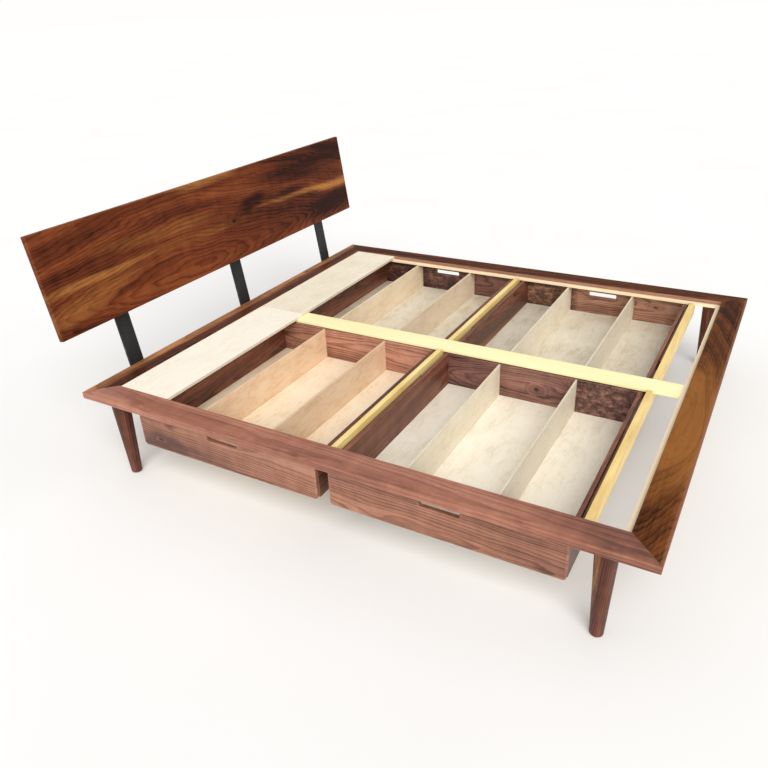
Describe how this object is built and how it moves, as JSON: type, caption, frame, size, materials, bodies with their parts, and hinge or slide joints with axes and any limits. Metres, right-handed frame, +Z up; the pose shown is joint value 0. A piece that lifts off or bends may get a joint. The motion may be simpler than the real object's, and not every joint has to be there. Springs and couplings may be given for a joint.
{
  "type": "platform bed with storage drawers",
  "caption": "Low platform bed with a mitred rim, tapered legs, a leaning headboard on steel bars and divided drawers that slide out on both sides.",
  "frame": {"origin": "on the floor under the middle of the bed and its headboard together", "axes": "+Y towards the headboard, +X to the right as seen from the foot end, +Z up"},
  "size_m": [2.16, 2.4047, 1.0315],
  "materials": {
    "walnut_rim": "oiled black walnut, satin",
    "walnut_headboard": "oiled black walnut with sapwood streaks, satin",
    "walnut_leg": "oiled black walnut, turned, satin",
    "walnut_front": "oiled black walnut, satin",
    "walnut_wall": "black walnut, lightly finished",
    "maple_ledge": "pale hardwood, sanded",
    "poplar": "yellow poplar, sanded",
    "birch_ply_deck": "maple plywood, sanded",
    "birch_ply_drawer": "maple plywood, sanded",
    "black_steel": "satin black",
    "slide_steel": "black-brown coated"
  },
  "bodies": {
    "bed_frame": {"rim_board_left": "walnut_rim", "rim_board_right": "walnut_rim", "rim_board_foot": "walnut_rim", "rim_board_head": "walnut_rim", "ledge_right": "maple_ledge", "ledge_left": "maple_ledge", "ledge_head": "maple_ledge", "ledge_foot": "maple_ledge", "centre_rail": "poplar", "cross_rail_head": "poplar", "cross_rail_middle": "poplar", "cross_rail_foot": "poplar", "leg_head_left": "walnut_leg", "leg_head_right": "walnut_leg", "leg_foot_left": "walnut_leg", "leg_foot_right": "walnut_leg", "headboard_slab": "walnut_headboard", "headboard_bar_left": "black_steel", "headboard_bar_middle": "black_steel", "headboard_bar_right": "black_steel", "slide_head_left_mid": "slide_steel", "slide_head_left_end": "slide_steel", "slide_head_right_mid": "slide_steel", "slide_head_right_end": "slide_steel", "slide_foot_left_mid": "slide_steel", "slide_foot_left_end": "slide_steel", "slide_foot_right_mid": "slide_steel", "slide_foot_right_end": "slide_steel"},
    "drawer_head_left": {"drawer_head_left_front": "walnut_front", "drawer_head_left_back": "walnut_wall", "drawer_head_left_side_mid": "walnut_wall", "drawer_head_left_side_end": "walnut_wall", "drawer_head_left_bottom": "birch_ply_drawer", "drawer_head_left_divider_mid": "birch_ply_drawer", "drawer_head_left_divider_end": "birch_ply_drawer"},
    "drawer_head_right": {"drawer_head_right_front": "walnut_front", "drawer_head_right_back": "walnut_wall", "drawer_head_right_side_mid": "walnut_wall", "drawer_head_right_side_end": "walnut_wall", "drawer_head_right_bottom": "birch_ply_drawer", "drawer_head_right_divider_mid": "birch_ply_drawer", "drawer_head_right_divider_end": "birch_ply_drawer"},
    "drawer_foot_left": {"drawer_foot_left_front": "walnut_front", "drawer_foot_left_back": "walnut_wall", "drawer_foot_left_side_mid": "walnut_wall", "drawer_foot_left_side_end": "walnut_wall", "drawer_foot_left_bottom": "birch_ply_drawer", "drawer_foot_left_divider_mid": "birch_ply_drawer", "drawer_foot_left_divider_end": "birch_ply_drawer"},
    "drawer_foot_right": {"drawer_foot_right_front": "walnut_front", "drawer_foot_right_back": "walnut_wall", "drawer_foot_right_side_mid": "walnut_wall", "drawer_foot_right_side_end": "walnut_wall", "drawer_foot_right_bottom": "birch_ply_drawer", "drawer_foot_right_divider_mid": "birch_ply_drawer", "drawer_foot_right_divider_end": "birch_ply_drawer"},
    "deck_panel_left": {"deck_panel_left": "birch_ply_deck"},
    "deck_panel_right": {"deck_panel_right": "birch_ply_deck"}
  },
  "joints": [
    {"name": "drawer_head_left_slide", "type": "slide", "parent": "bed_frame", "child": "drawer_head_left", "axis": [-1, 0, 0], "range_m": [0, 0.7]},
    {"name": "drawer_head_right_slide", "type": "slide", "parent": "bed_frame", "child": "drawer_head_right", "axis": [1, 0, 0], "range_m": [0, 0.7]},
    {"name": "drawer_foot_left_slide", "type": "slide", "parent": "bed_frame", "child": "drawer_foot_left", "axis": [-1, 0, 0], "range_m": [0, 0.7]},
    {"name": "drawer_foot_right_slide", "type": "slide", "parent": "bed_frame", "child": "drawer_foot_right", "axis": [1, 0, 0], "range_m": [0, 0.7]},
    {"name": "deck_panel_left_lift", "type": "slide", "parent": "bed_frame", "child": "deck_panel_left", "axis": [0, 0, 1], "range_m": [0, 0.3]},
    {"name": "deck_panel_right_lift", "type": "slide", "parent": "bed_frame", "child": "deck_panel_right", "axis": [0, 0, 1], "range_m": [0, 0.3]}
  ]
}
